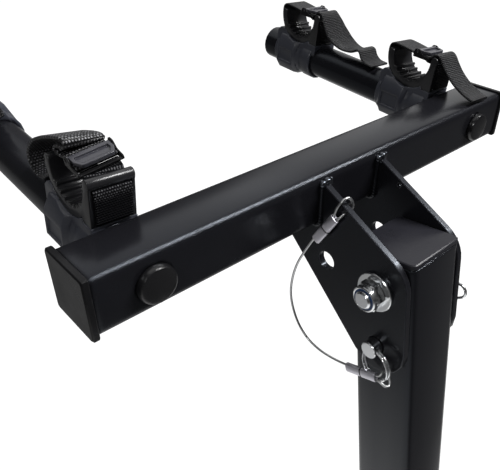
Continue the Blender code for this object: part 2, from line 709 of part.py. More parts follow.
def build_lanyard(head):
    ring_loop = [
        (-42.2, -95.4, -107.6), (-40.6, -98.4, -109.6), (-38.0, -99.2, -110.2), (-35.6, -97.6, -108.2),
        (-34.9, -94.6, -104.8), (-36.2, -92.9, -102.2), (-38.8, -92.5, -101.3), (-41.2, -93.4, -101.9),
    ]
    free = [
        (-41.6, -60.5, -115.9), (-41.0, -49.0, -119.4), (-41.0, -36.0, -120.6), (-41.3, -24.0, -117.6),
        (-41.8, -14.6, -109.5), (-42.4, -8.4, -97.5), (-43.0, -5.6, -83.5), (-43.0, -6.6, -68.0),
        (-42.3, -10.4, -52.5), (-40.6, -15.6, -39.5),
    ]
    plate_loop = [
        (-35.4, -36.3, 1.8), (-34.4, -37.4, 5.2), (-32.6, -38.6, 8.2), (-29.4, -39.5, 9.8), (-26.2, -40.0, 8.4),
        (-24.2, -40.3, 5.4), (-23.7, -40.5, 2.2), (-24.7, -40.5, -0.2), (-26.8, -40.5, -0.9), (-29.0, -40.5, -0.9),
        (-31.4, -40.5, -0.9), (-33.4, -40.3, -1.5), (-35.0, -39.6, -2.9),
    ]
    shares = (0.03, 0.25, 0.5, 0.75, 1.0)
    lower_back = [along_sleeve(LOWER_SLEEVE, s, -1) for s in shares]
    lower_main = [along_sleeve(LOWER_SLEEVE, s, 1) for s in (1.0, 0.75, 0.5, 0.25, 0.0)]
    upper_main = [along_sleeve(UPPER_SLEEVE, s, 1) for s in (0.0, 0.25, 0.5, 0.75, 1.0)]
    upper_back = [along_sleeve(UPPER_SLEEVE, s, -1) for s in (1.0, 0.75, 0.5, 0.25, 0.03)]
    route = smooth([*lower_back, *ring_loop, *lower_main, *free, *upper_main, *plate_loop, *upper_back], 4.6)
    length = sum((b - a).length for a, b in zip(route, route[1:]))
    print(f"lanyard cable: {length:.0f} mm long, {len(route)} points, least gap {least_gap(route, CABLE_D):.2f} mm")
    piece("lanyard_cable", ready(wire(route, CABLE_D, 6), CABLE), head)

    # A sleeve is two crimped barrels of figure-eight section, joined by a narrow neck.
    def section(scale, z):
        lobe = 2.15 * scale
        half = SLEEVE_SPREAD
        right = arc(lobe, -90, 90, 5, (half * scale, 0.0))
        left = arc(lobe, 90, 270, 5, (-half * scale, 0.0))
        return level(right + left, z)

    barrel = 13.0
    heights = ((0.93, 0.0), (1.0, 0.5), (1.0, barrel - 0.5), (0.93, barrel), (0.86, barrel + 0.1),
               (0.86, SLEEVE - barrel - 0.1), (0.93, SLEEVE - barrel), (1.0, SLEEVE - barrel + 0.5),
               (1.0, SLEEVE - 0.5), (0.93, SLEEVE))
    for name, sleeve in (("upper", UPPER_SLEEVE), ("lower", LOWER_SLEEVE)):
        start, direction, across = sleeve
        direction = direction.normalized()
        across = (across - across.dot(direction) * direction).normalized()
        turn = Matrix((across, direction.cross(across), direction)).transposed().to_4x4()
        body = stack([section(scale, z) for scale, z in heights])
        bores = [moved(bar(SLEEVE_BORE, SLEEVE + 4.0, 10), (side * SLEEVE_SPREAD, 0.0, SLEEVE / 2))
                 for side in (-1, 1)]
        body = cut(body, *bores)
        body.transform(Matrix.Translation(start) @ turn)
        piece(f"lanyard_sleeve_{name}", ready(body, ALUMINIUM), head)


# Cradles, in a frame on the arm's axis below the cup: y runs along the arm, z is up
CUP = Vector((-0.5, 40.0))
LIP = Vector((-23.4, 43.9))
SLAB_FRONT = -26.0
SLAB_REAR = -19.85
SLAB_FOOT = 17.6


def liner_outline():
    """Side view of the liner: ribbed cup with a rear rim, and the tall front wall with its rounded lip."""
    inner, outer = CUP_RADIUS, CUP_RADIUS + CUP_WALL
    points = [Vector((SLAB_FRONT, SLAB_FOOT)), Vector((-17.4, SLAB_FOOT))]
    points += arc(outer, 232, 364, 12, CUP)
    points += [spot(outer - 1.4, 367, CUP), spot(inner + 1.4, 367, CUP)]
    points += arc(inner, 4, -32, 3, CUP)
    for k in range(RIBS):
        middle = -42 - 96 * k / (RIBS - 1)
        points += [spot(inner, middle + 4.6, CUP), spot(inner - RIB_HEIGHT, middle + 2.4, CUP),
                   spot(inner - RIB_HEIGHT, middle - 2.4, CUP), spot(inner, middle - 4.6, CUP)]
    points += arc(inner, -152, -178, 2, CUP)
    points += [Vector((SLAB_REAR, 40.6))]
    points += arc(LIP_RADIUS, 0, 200, 6, LIP)
    points += [Vector((SLAB_FRONT, 40.8))]
    return points


def build_liner():
    body = moved(prism([liner_outline()], 2 * CUP_HALF), rotation=SIDE_VIEW)
    arm_space = moved(bar(ARM_D + 3 * GAP, 90.0, 20), rotation=ALONG_Y)
    slot = moved(prism([[(-30.0, 37.6), (-16.0, 40.6), (-16.0, 43.4), (-30.0, 40.4)]], SHORT_STRAP_WIDTH + 1.2),
                 rotation=SIDE_VIEW)
    return cut(body, arm_space, slot)


def build_cradle_body():
    """Clamp collar round the arm, saddle under the cup, deck behind it and a faceted waist with a recessed panel."""
    saddle = moved(prism([rounded([
        (-22.3, 0.0, 0.0), (-25.6, 6.0, 2.0), (-26.0, 13.0, 2.0), (-26.0, 20.0, 0.0), (0.0, 20.0, 0.0),
        (18.0, 24.0, 0.0), (25.0, 24.0, 1.5), (28.8, 20.0, 2.0), (29.0, 6.0, 4.0), (26.0, 0.0, 0.0),
    ], 3)], 29.0), rotation=SIDE_VIEW)
    collar = moved(turned([
        (0.0, COLLAR_REAR), (17.2, COLLAR_REAR), (18.2, COLLAR_REAR - 1.4), (18.2, -4.0), (17.3, -6.5),
        (17.3, -8.0), (18.9, -11.0), (18.9, -21.6), (18.0, COLLAR_FRONT), (0.0, COLLAR_FRONT),
    ], 20), rotation=ALONG_Y)
    facets = [(-20.4, -9.0), (-15.0, -16.6), (-8.0, -18.8), (8.0, -18.8), (15.0, -16.6), (20.4, -9.0), (20.4, 8.0),
              (15.7, 18.0), (-15.7, 18.0), (-20.4, 8.0)]
    waist = stack([[(a * share, y, b * share) for a, b in facets]
                   for share, y in ((0.87, -4.0), (1.0, -0.8), (1.0, 21.4), (0.87, 24.6))])
    body = joined(saddle, collar, waist)

    room = CUP_RADIUS + CUP_WALL + GAP
    cup_space = moved(prism([[Vector((-30.0, SLAB_FOOT - GAP)), Vector((-17.05, SLAB_FOOT - GAP)),
                              *arc(room, 233, 368, 15, CUP), Vector((25.0, 60.0)), Vector((-30.0, 60.0))]],
                            45.0), rotation=SIDE_VIEW)
    strap_space = moved(prism([ribbon(arc(room + 1.2, -62, -18, 4, CUP), 3.2)], STRAP_WIDTH + 1.0), rotation=SIDE_VIEW)
    arm_space = moved(bar(ARM_D + 3 * GAP, 90.0, 20), rotation=ALONG_Y)
    pockets = [moved(block((2.4, 18.0, 12.0)), (sign * 20.4, 10.3, -1.0)) for sign in (-1, 1)]
    return cut(body, cup_space, strap_space, arm_space, *pockets)


# Buckle, in its own frame: y runs back along the strap, z is up from the underside of its base
BUCKLE_FRONT, BUCKLE_REAR = -8.5, 7.5
BAR_REAR = -6.3  # back of the front bar that the short strap turns round
WINDOW_REAR = -3.3
BASE = 1.2
STRAP_IN_BUCKLE = BASE + GAP + STRAP_THICK / 2 + 0.05
HINGE = Vector((0.0, 4.0, 5.2))
CHEEK_IN, CHEEK_OUT, CHEEK_TOP = 12.9, 13.8, 7.2


def build_buckle_frame():
    """Low channel: base with a window behind its front bar, and two cheeks that carry the lever."""
    channel = moved(prism([[
        (-CHEEK_OUT, 0.0), (CHEEK_OUT, 0.0), (CHEEK_OUT, CHEEK_TOP), (CHEEK_IN, CHEEK_TOP), (CHEEK_IN, BASE),
        (-CHEEK_IN, BASE), (-CHEEK_IN, CHEEK_TOP), (-CHEEK_OUT, CHEEK_TOP),
    ]], BUCKLE_REAR - BUCKLE_FRONT), (0.0, (BUCKLE_REAR + BUCKLE_FRONT) / 2, 0.0), (math.radians(90), 0.0, 0.0))
    side = rounded([
        (BUCKLE_FRONT, 0.0, 0.0), (BUCKLE_REAR, 0.0, 0.0), (BUCKLE_REAR, 4.0, 1.5), (6.4, CHEEK_TOP - 0.1, 2.0),
        (1.6, CHEEK_TOP - 0.1, 2.5), (-1.5, 3.2, 2.0), (BUCKLE_FRONT, 2.2, 1.0),
    ], 3)
    keep = moved(prism([side], 40.0), rotation=SIDE_VIEW)
    body = combined(channel, [keep], "INTERSECT")
    window = moved(block((SHORT_STRAP_WIDTH + 1.0, WINDOW_REAR - BAR_REAR, 6.0)),
                   (0.0, (WINDOW_REAR + BAR_REAR) / 2, 0.0))
    hole = moved(bar(2.6, 40.0, 12), HINGE, ALONG_X)
    return cut(body, window, hole)


def build_lever():
    """Thumb tray with a raised rim and the two pins it turns on, drawn about the hinge."""
    wide, narrow, front, half = 12.2, 9.6, -11.5, 1.2
    tray = rounded([(-wide, 0.6, 0.0), (-wide, -6.0, 0.0), (-narrow, front, 2.5),
                    (narrow, front, 2.5), (wide, -6.0, 0.0), (wide, 0.6, 0.0)], 3)
    pocket = rounded([(-wide + 2.0, -2.4, 0.0), (-wide + 2.0, -5.6, 0.0), (-narrow + 1.6, front + 2.0, 1.5),
                      (narrow - 1.6, front + 2.0, 1.5), (wide - 2.0, -5.6, 0.0), (wide - 2.0, -2.4, 0.0)], 2)
    body = softened(prism([tray], 2 * half), 0.4)
    cam = moved(bar(2 * half, 2 * wide, 14), rotation=ALONG_X)
    pins = moved(bar(2.0, 2 * CHEEK_OUT - 0.6, 12), rotation=ALONG_X)
    scoop = moved(prism([pocket], 2.4), (0.0, 0.0, half))
    return cut(joined(body, cam, pins), scoop)


def station(u, h, rise=0.0, x=0.0, skew=0.0):
    """Point of a strap's middle line, with the climb and skew of the strap across its width."""
    return Vector((x, u, h, *Vector((1.0, skew, rise)).normalized()))


def in_buckle(pose, y, z):
    """The same for a point in the frame of the buckle, which stands at a place with a turn."""
    turn = Euler(pose[1]).to_matrix()
    return Vector((*(Vector(pose[0]) + turn @ Vector((0.0, y, z))), *turn.col[0]))


def strap_points(kind, pose):
    """Middle line of the long strap, from its hold behind the cup to its tail."""
    ends = ((BUCKLE_REAR + 0.5, 0.0), (4.0, 0.0), (-4.0, 0.0), (BUCKLE_FRONT - 0.3, 0.1))
    through = [in_buckle(pose, y, STRAP_IN_BUCKLE + lift) for y, lift in ends]
    if kind == "open":
        loose = [station(17.3, 20.4), station(20.6, 23.9), station(22.4, 26.6), station(26.2, 27.6, 0.05),
                 station(31.4, 24.8, 0.1), station(38.0, 21.4, 0.2), station(46.0, 20.2, 0.25),
                 station(53.0, 22.8, 0.2), station(55.0, 29.0, 0.1), station(50.5, 35.6),
                 station(44.0, 40.4, -0.1), station(36.0, 45.0, -0.1), station(28.0, 49.0, -0.1),
                 station(19.0, 52.6, -0.1), station(10.5, 55.6, -0.1), station(4.8, 57.0, -0.1),
                 station(1.6, 55.8, -0.05), station(3.6, 53.6), station(8.6, 52.3), station(13.0, 50.9),
                 station(15.2, 48.9), station(13.2, 47.1), station(8.8, 47.6, 0.15, 1.0)]
        return [*loose, in_buckle(pose, BUCKLE_REAR + 4.5, STRAP_IN_BUCKLE + 0.2), *through[:3]]
    over = [station(*spot(CUP_RADIUS + CUP_WALL + 1.4, angle, CUP)) for angle in (-48, -34, -20, -6, 6)]
    over += [station(24.8, 45.2), station(21.4, 46.8), station(14.0, 46.6), station(6.0, 45.7)]
    crest = [station(-19.2, 46.3), station(-21.0, 48.2), station(-24.2, 48.9), station(-27.6, 46.9)]
    if kind == "on_bar":
        tail = [station(-31.6, 42.4), station(-37.0, 37.0), station(-45.0, 31.2), station(-53.0, 27.2),
                station(-60.0, 24.6), station(-67.0, 23.0)]
    elif kind == "down":
        tail = [station(-30.4, 42.4), station(-32.0, 37.0), station(-33.2, 31.0), station(-34.6, 25.0),
                station(-36.6, 20.6)]
    else:
        tail = [station(-33.0, 40.8, 0.25), station(-40.0, 33.4, 0.4), station(-49.0, 27.8, 0.25),
                station(-58.0, 24.6, 0.1), station(-66.0, 24.0), station(-72.0, 25.4), station(-76.6, 28.2),
                station(-80.4, 27.6), station(-83.8, 22.8), station(-89.0, 19.4), station(-98.0, 18.6)]
    return [*over, *through, *crest, *tail]


def short_strap_points(kind, pose):
    """From its sewn end on the front wall, in through the slot and round the buckle's front bar."""
    outside = [station(SLAB_FRONT - 1.1, h) for h in (19.6, 28.0, 35.8)]
    slot = [station(-27.0, 38.2), station(-26.1, 39.8), station(-23.4, 40.7), station(-18.6, 41.5)]
    middle = (BUCKLE_FRONT + BAR_REAR) / 2
    turn = ((-0.3, -1.9), (1.1, -1.8), (2.25, -1.1), (2.5, 0.1))
    if kind == "open":
        slot[-1:] = [station(-18.9, 41.5), station(-17.9, 43.0, 0.12)]
        turn = ((-0.8, -2.3), *turn[1:])
    else:
        slot[-1] = station(-19.4, 41.0)
    hook = [in_buckle(pose, middle + y, BASE / 2 + z) for y, z in turn]
    return [*outside, *slot, *hook]


CLOSED = ((0.0, -8.4, 42.4), (0.0, 0.0, 0.0))  # the buckle's place and turn in a done-up cradle
CRADLE_POSES = {
    "left_front": ("open", ((0.4, -7.8, 47.2), (math.radians(3), math.radians(-11), math.radians(-2)))),
    "left_rear": ("down", CLOSED),
    "right_front": ("on_bar", CLOSED),
    "right_rear": ("loose", CLOSED),
}


def build_straps(name, seat):
    kind, pose = CRADLE_POSES[name]
    path = smooth(strap_points(kind, pose), 4.5)
    gap = least_gap([Vector(point[:3]) for point in path], STRAP_THICK)
    print(f"strap {name}: least gap between its layers {gap:.2f} mm")
    piece(f"strap_{name}", ready(band(path, STRAP_WIDTH, STRAP_THICK), WEBBING), seat)
    path = smooth(short_strap_points(kind, pose), 2.6)
    piece(f"buckle_strap_{name}", ready(band(path, SHORT_STRAP_WIDTH, SHORT_STRAP_THICK), WEBBING), seat)


def build_cradles(arms):
    body = ready(build_cradle_body(), MOULDED)
    liner = ready(build_liner(), SOFT)
    buckle = ready(build_buckle_frame(), PLASTIC)
    lever = ready(build_lever(), PLASTIC)
    for name, (side, distance, roll) in CRADLE_PLACES.items():
        arm = arms["left" if side < 0 else "right"]
        seat = frame(f"cradle_seat_{name}", arm, (0.0, distance, 0.0), (0.0, roll, 0.0))
        piece(f"cradle_body_{name}", body, seat)
        piece(f"cradle_liner_{name}", liner, seat)
        build_straps(name, seat)
        place, turn = CRADLE_POSES[name][1]
        hold = frame(f"buckle_seat_{name}", seat, place, turn)
        piece(f"buckle_frame_{name}", buckle, hold)
        hinge = frame(f"lever_hinge_{name}", hold, HINGE)
        piece(f"buckle_lever_{name}", lever, hinge)


def build():
    build_foot()
    build_mast()
    fold_axis = frame("fold_axis", None, (0.0, MAST_Y, PIVOT_Z), (HEAD_TILT, 0.0, 0.0))
    head = frame("crossbar_seat", fold_axis, PIVOT_TO_BAR)
    arms = {side: frame(f"arm_axis_{side}", head, (sign * ARM_X, 0.0, 0.0), (ARM_RISE, 0.0, 0.0))
            for side, sign in (("left", -1), ("right", 1))}
    build_crossbar(head)
    build_side_plates(head)
    build_arms(arms)
    build_lock_pin(head)
    build_lanyard(head)
    build_cradles(arms)


build()
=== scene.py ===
"""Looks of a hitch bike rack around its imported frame: webbing, liners, steel lanyard, welds and finishes.

Meshes are built in millimetres, as in the part's own source, and scaled to metres when they are done. The
camera, materials, modifiers, floor and lamps are in metres.
"""

import math

import bmesh
import bpy
from mathutils import Euler, Matrix, Vector


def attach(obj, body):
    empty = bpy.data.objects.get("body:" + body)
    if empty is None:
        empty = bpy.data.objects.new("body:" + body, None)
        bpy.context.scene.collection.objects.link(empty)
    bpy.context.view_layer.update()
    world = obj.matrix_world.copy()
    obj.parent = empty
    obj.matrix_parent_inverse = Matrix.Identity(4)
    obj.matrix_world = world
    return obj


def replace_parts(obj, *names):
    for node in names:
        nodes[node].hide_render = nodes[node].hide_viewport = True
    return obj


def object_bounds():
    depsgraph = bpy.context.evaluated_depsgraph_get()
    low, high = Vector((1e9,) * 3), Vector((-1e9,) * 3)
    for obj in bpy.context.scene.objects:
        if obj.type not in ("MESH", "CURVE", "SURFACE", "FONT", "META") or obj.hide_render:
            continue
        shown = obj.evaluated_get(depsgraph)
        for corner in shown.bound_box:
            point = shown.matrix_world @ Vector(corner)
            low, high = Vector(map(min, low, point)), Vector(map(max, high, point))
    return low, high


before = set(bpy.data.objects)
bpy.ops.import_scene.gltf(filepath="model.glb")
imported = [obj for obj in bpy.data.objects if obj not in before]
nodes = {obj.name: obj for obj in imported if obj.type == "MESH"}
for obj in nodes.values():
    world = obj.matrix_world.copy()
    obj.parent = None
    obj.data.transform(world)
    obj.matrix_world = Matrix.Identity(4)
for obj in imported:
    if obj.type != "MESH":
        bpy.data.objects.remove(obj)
cad_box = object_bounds()

MM = 0.001
CRADLES = ("left_front", "left_rear", "right_front", "right_rear")


# Camera at the photograph's viewing angle
def make_camera():
    data = bpy.data.cameras.new("photo_view")
    data.sensor_width = 36.0
    data.lens = 41.8935
    data.shift_x = -0.0901
    data.shift_y = -0.00568
    data.clip_start = 0.01
    camera = bpy.data.objects.new("photo_view", data)
    bpy.context.scene.collection.objects.link(camera)
    camera.location = (-0.2815, 0.0475, 0.96076)
    camera.rotation_euler = [math.radians(a) for a in (61.6544, 3.6667, -43.9523)]
    bpy.context.scene.camera = camera


make_camera()

# Places of the head and of the cradles, as the part's source has them
MAST_Y, PIVOT_Z = 250.0, 741.2
HEAD_TILT, ARM_RISE = math.radians(8.0), math.radians(3.2)
BAR_Y, BAR_Z = 73.2, 45.5  # middle of the crossbar, from the pivot
ARM_X = 160.5
HEAD = (Matrix.Translation((0.0, MAST_Y, PIVOT_Z)) @ Matrix.Rotation(HEAD_TILT, 4, "X")
        @ Matrix.Translation((0.0, BAR_Y, BAR_Z)))
# Side, distance along the arm and roll about the arm
PLACES = {
    "left_front": (-1, 46.9, math.radians(3)),
    "left_rear": (-1, 206.8, math.radians(-24)),
    "right_front": (1, 50.3, math.radians(4)),
    "right_rear": (1, 190.0, math.radians(3)),
}


def seat(name):
    """Frame of one cradle on its arm."""
    side, distance, roll = PLACES[name]
    return (HEAD @ Matrix.Translation((side * ARM_X, 0.0, 0.0)) @ Matrix.Rotation(ARM_RISE, 4, "X")
            @ Matrix.Translation((0.0, distance, 0.0)) @ Matrix.Rotation(roll, 4, "Y"))


def spot(radius, angle, centre):
    """Point on a circle, at an angle in degrees."""
    turn = math.radians(angle)
    return Vector((centre[0] + radius * math.cos(turn), centre[1] + radius * math.sin(turn)))


def smooth(points, spacing):
    """A curve through the points, read off about every spacing (centripetal Catmull-Rom)."""
    points = [Vector(p) for p in points]
    ends = [2 * points[0] - points[1], *points, 2 * points[-1] - points[-2]]
    made = []
    for p0, p1, p2, p3 in zip(ends, ends[1:], ends[2:], ends[3:]):
        t1 = (p1 - p0).length ** 0.5
        t2 = t1 + (p2 - p1).length ** 0.5
        t3 = t2 + (p3 - p2).length ** 0.5
        steps = max(1, round((p2 - p1).length / spacing))
        for k in range(steps):
            t = t1 + (t2 - t1) * k / steps
            a1 = p0.lerp(p1, t / t1)
            a2 = p1.lerp(p2, (t - t1) / (t2 - t1))
            a3 = p2.lerp(p3, (t - t2) / (t3 - t2))
            b1 = a1.lerp(a2, t / t2)
            b2 = a2.lerp(a3, (t - t1) / (t3 - t1))
            made.append(b1.lerp(b2, (t - t1) / (t2 - t1)))
    return [*made, points[-1]]


def show(name, mesh, place, body, material):
    """A finished mesh in millimetres, set in its place and riding on its body."""
    mesh.transform(place)
    mesh.transform(Matrix.Scale(MM, 4))
    mesh.materials.clear()
    mesh.materials.append(material)
    obj = bpy.data.objects.new(name, mesh)
    bpy.context.scene.collection.objects.link(obj)
    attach(obj, body)
    return obj


def skin(rings, name, uvs=None):
    """Smooth skin over rings of equally many points, closed at both ends, with their UVs where given."""
    work = bmesh.new()
    layer = work.loops.layers.uv.new("cloth") if uvs else None
    loops = [[work.verts.new(point) for point in ring] for ring in rings]
    count = len(rings[0])

    def face(corners):
        made = work.faces.new([loops[r][i] for r, i in corners])
        if layer:
            for loop, (r, i) in zip(made.loops, corners):
                loop[layer].uv = uvs[r][i]

    for r in range(len(rings) - 1):
        for i in range(count):
            j = (i + 1) % count
            face([(r, i), (r, j), (r + 1, j), (r + 1, i)])
    face([(0, i) for i in reversed(range(count))])
    face([(-1, i) for i in range(count)])
    bmesh.ops.recalc_face_normals(work, faces=work.faces)
    mesh = bpy.data.meshes.new(name)
    work.to_mesh(mesh)
    work.free()
    mesh.shade_smooth()
    return mesh


# Materials
class Shader:
    """Node tree of one material, with short calls for what the finishes share."""

    def __init__(self, name, colour, roughness, metallic=0.0, specular=0.5):
        self.material = bpy.data.materials.new(name)
        self.material.use_nodes = True
        self.material.diffuse_color = (*colour, 1.0)
        self.nodes = self.material.node_tree.nodes
        self.links = self.material.node_tree.links
        self.shader = self.nodes["Principled BSDF"]
        self.shader.inputs["Base Color"].default_value = (*colour, 1.0)
        self.shader.inputs["Roughness"].default_value = roughness
        self.shader.inputs["Metallic"].default_value = metallic
        self.shader.inputs["Specular IOR Level"].default_value = specular
        self.place = self.nodes.new("ShaderNodeTexCoord").outputs["Object"]
        self.normal = None

    def put(self, value, socket):
        if isinstance(value, bpy.types.NodeSocket):
            self.links.new(value, socket)
        else:
            socket.default_value = value

    def math(self, operation, a, b=0.0):
        node = self.nodes.new("ShaderNodeMath")
        node.operation = operation
        self.put(a, node.inputs[0])
        self.put(b, node.inputs[1])
        return node.outputs[0]

    def noise(self, scale, detail=2.0, rough=0.5, place=None):
        node = self.nodes.new("ShaderNodeTexNoise")
        node.inputs["Scale"].default_value = scale
        node.inputs["Detail"].default_value = detail
        node.inputs["Roughness"].default_value = rough
        self.links.new(place or self.place, node.inputs["Vector"])
        return node.outputs["Fac"]

    def clouds(self, scale, rough=0.6, place=None):
        """A noise of uneven patches."""
        return self.noise(scale, 3.0, rough, place)

    def stretched(self, scale):
        """The object's own place, scaled by axis, for brushed and drawn metal."""
        node = self.nodes.new("ShaderNodeMapping")
        node.inputs["Scale"].default_value = scale
        self.links.new(self.place, node.inputs["Vector"])
        return node.outputs["Vector"]

    def between(self, value, low, high, out_low, out_high):
        node = self.nodes.new("ShaderNodeMapRange")
        node.inputs["From Min"].default_value = low
        node.inputs["From Max"].default_value = high
        self.put(out_low, node.inputs["To Min"])
        self.put(out_high, node.inputs["To Max"])
        self.links.new(value, node.inputs["Value"])
        return node.outputs["Result"]

    def follow(self, noise, low, high):
        """Runs from low to high over the range that a noise mostly takes."""
        return self.between(noise, 0.3, 0.7, low, high)

    def blend(self, share, a, b):
        """Colour a where the share is 0, colour b where it is 1."""
        node = self.nodes.new("ShaderNodeMix")
        node.data_type = "RGBA"
        self.put(share, node.inputs["Factor"])
        self.put(a if isinstance(a, bpy.types.NodeSocket) else (*a, 1.0), node.inputs["A"])
        self.put(b if isinstance(b, bpy.types.NodeSocket) else (*b, 1.0), node.inputs["B"])
        return node.outputs["Result"]

    def edges(self, radius):
        """Softens the edges' normals, and gives a mask that is 1 where they turn by 35 degrees or more."""
        bevel = self.nodes.new("ShaderNodeBevel")
        bevel.samples = 6
        bevel.inputs["Radius"].default_value = radius
        self.normal = bevel.outputs["Normal"]
        flat = self.nodes.new("ShaderNodeNewGeometry").outputs["Normal"]
        dot = self.nodes.new("ShaderNodeVectorMath")
        dot.operation = "DOT_PRODUCT"
        self.links.new(self.normal, dot.inputs[0])
        self.links.new(flat, dot.inputs[1])
        return self.between(dot.outputs["Value"], 0.99, 0.82, 0.0, 1.0)

    def bump(self, height, distance, strength):
        node = self.nodes.new("ShaderNodeBump")
        node.inputs["Strength"].default_value = strength
        node.inputs["Distance"].default_value = distance
        self.links.new(height, node.inputs["Height"])
        if self.normal:
            self.links.new(self.normal, node.inputs["Normal"])
        self.normal = node.outputs["Normal"]

    def done(self, colour, roughness=None):
        self.links.new(colour, self.shader.inputs["Base Color"])
        if roughness:
            self.links.new(roughness, self.shader.inputs["Roughness"])
        if self.normal:
            self.links.new(self.normal, self.shader.inputs["Normal"])
        return self.material


def powder_coat(name="powder_coat", roughness=0.26, specular=0.24, round_off=0.0009, edge_wear_and_light=0.5):
    """Black coat with a fine peel, lighter in places along its edges: worn paint, and where that lightening
    is set high, as on the side plates, a painted edge highlight.
    """
    s = Shader(name, (0.007, 0.007, 0.0085), roughness, specular=specular)
    s.shader.inputs["Specular Tint"].default_value = (0.80, 0.88, 1.0, 1.0)
    edge = s.edges(round_off)
    cloud = s.clouds(14.0)
    colour = s.blend(cloud, (0.0055, 0.0055, 0.007), (0.009, 0.009, 0.011))
    # Lighter along edges: worn paint, and at a high setting a lighter painted edge highlight
    worn_and_lit_mask = s.math("MULTIPLY", edge, s.between(s.clouds(110.0), 0.45, 0.7, edge_wear_and_light - 0.4, edge_wear_and_light))
    edge_wear_and_highlight = (0.05, 0.05, 0.056) if edge_wear_and_light < 0.6 else (0.09, 0.09, 0.105)
    s.bump(s.noise(850.0), 0.00010, 0.12)
    return s.done(s.blend(worn_and_lit_mask, colour, edge_wear_and_highlight), s.follow(cloud, roughness - 0.03, roughness + 0.03))


def zinc():
    s = Shader("zinc_plate", (0.78, 0.80, 0.83), 0.24, metallic=1.0)
    edge = s.edges(0.0004)
    drawn = s.clouds(1.0, place=s.stretched((300.0, 2600.0, 2600.0)))
    colour = s.blend(s.clouds(70.0), (0.72, 0.75, 0.80), (0.84, 0.84, 0.82))
    return s.done(s.blend(edge, colour, (0.92, 0.92, 0.94)), s.follow(drawn, 0.16, 0.24))


def aluminium():
    s = Shader("aluminium_sleeve", (0.42, 0.41, 0.45), 0.36, metallic=0.85)
    s.edges(0.0003)
    drawn = s.clouds(1.0, place=s.stretched((2200.0, 700.0, 700.0)))
    colour = s.blend(s.noise(120.0), (0.46, 0.45, 0.50), (0.66, 0.65, 0.70))
    s.bump(drawn, 0.00008, 0.4)
    return s.done(colour, s.follow(drawn, 0.28, 0.42))


def steel_cable():
    s = Shader("stranded_cable", (0.34, 0.34, 0.32), 0.36, metallic=1.0)
    grime = s.clouds(260.0)
    colour = s.blend(grime, (0.38, 0.39, 0.40), (0.66, 0.66, 0.66))
    s.bump(s.noise(2400.0), 0.00005, 0.4)
    return s.done(colour, s.follow(grime, 0.3, 0.46))


def nylon_ring():
    s = Shader("blue_nylon_ring", (0.02, 0.05, 0.14), 0.4)
    colour = s.blend(s.noise(600.0), (0.015, 0.04, 0.12), (0.03, 0.07, 0.18))
    s.bump(s.noise(1500.0), 0.00005, 0.4)
    return s.done(colour)


def plastic(name, low, high, roughness, grain=1400.0, depth=0.00010, specular=0.3, round_off=0.0008,
            edge_wear_and_highlight=0.55):
    """Moulded plastic or rubber between two close colours, with a grain and edges lighter in places: partly
    wear, partly a painted edge highlight.
    """
    s = Shader(name, low, roughness, specular=specular)
    edge = s.edges(round_off)
    cloud = s.clouds(35.0)
    # Lighter edges: partly wear, partly painted highlight along rims and ridges
    worn_and_lit_edges = s.math("MULTIPLY", edge, s.between(s.clouds(240.0, 0.7), 0.42, 0.7, 0.0, edge_wear_and_highlight))
    lighter = [min(1.0, c * 2.4 + 0.02) for c in high]
    s.bump(s.clouds(grain, 0.55), depth, 0.5)
    return s.done(s.blend(worn_and_lit_edges, s.blend(cloud, low, high), lighter),
                  s.follow(cloud, roughness - 0.06, roughness + 0.06))


def woven(name, width, pitch, light_thread, specular, painted_highlight_from=0.0):
    """Webbing: rows of crossed threads in the cloth's own millimetres, across and along, with selvedges.

    Where a starting row is given, its light threads start there: a painted highlight on the top rows, where
    the strap curves into its slot under the lip.
    """
    s = Shader(name, (0.008, 0.008, 0.009), 0.4, specular=specular)
    uv = s.nodes.new("ShaderNodeUVMap")
    uv.uv_map = "cloth"
    split = s.nodes.new("ShaderNodeSeparateXYZ")
    s.links.new(uv.outputs["UV"], split.inputs[0])
    across, along = split.outputs["X"], split.outputs["Y"]
    rows = s.math("DIVIDE", along, pitch)
    odd = s.math("MULTIPLY", s.math("MODULO", s.math("FLOOR", rows), 2.0), 0.5)
    columns = s.math("ADD", s.math("DIVIDE", across, pitch * 1.06), odd)

    def hump(value):
        """1 in the middle of each cell and 0 at its sides."""
        part = s.math("SUBTRACT", s.math("MULTIPLY", s.math("FRACT", value), 2.0), 1.0)
        return s.math("SUBTRACT", 1.0, s.math("MULTIPLY", part, part))

    thread = s.math("MULTIPLY", hump(rows), hump(columns))
    ridge = s.math("MULTIPLY", hump(rows), 0.55)
    side = s.math("ABSOLUTE", across)
    inner, outer = width / 2 - 2.0, width / 2 - 1.6
    selvedge = s.between(side, inner, outer, 0.0, 1.0)
    height = s.math("ADD", s.math("MULTIPLY", thread, 0.6), ridge)
    height = s.math("ADD", height, s.math("MULTIPLY", selvedge, s.math("MULTIPLY", hump(rows), 0.7)))
    speck = s.between(s.noise(500.0, 2.0, 0.6), 0.38, 0.60, 0.25, 1.0)
    light = s.math("MULTIPLY", s.between(thread, 0.62, 0.86, 0.0, 1.0), speck)
    # Painted highlight: light threads only from the given row on, near the top of the short strap
    if painted_highlight_from:
        light = s.math("MULTIPLY", light, s.between(along, painted_highlight_from, painted_highlight_from + 3.0, 0.03, 1.0))
    # Lighter threads: the weave's pattern, made bright enough on the open strap to be painted glints
    colour = s.blend(light, (0.0035, 0.0035, 0.0042), (light_thread, light_thread, light_thread * 1.06))
    s.bump(height, 0.00045, 0.9)
    return s.done(colour)


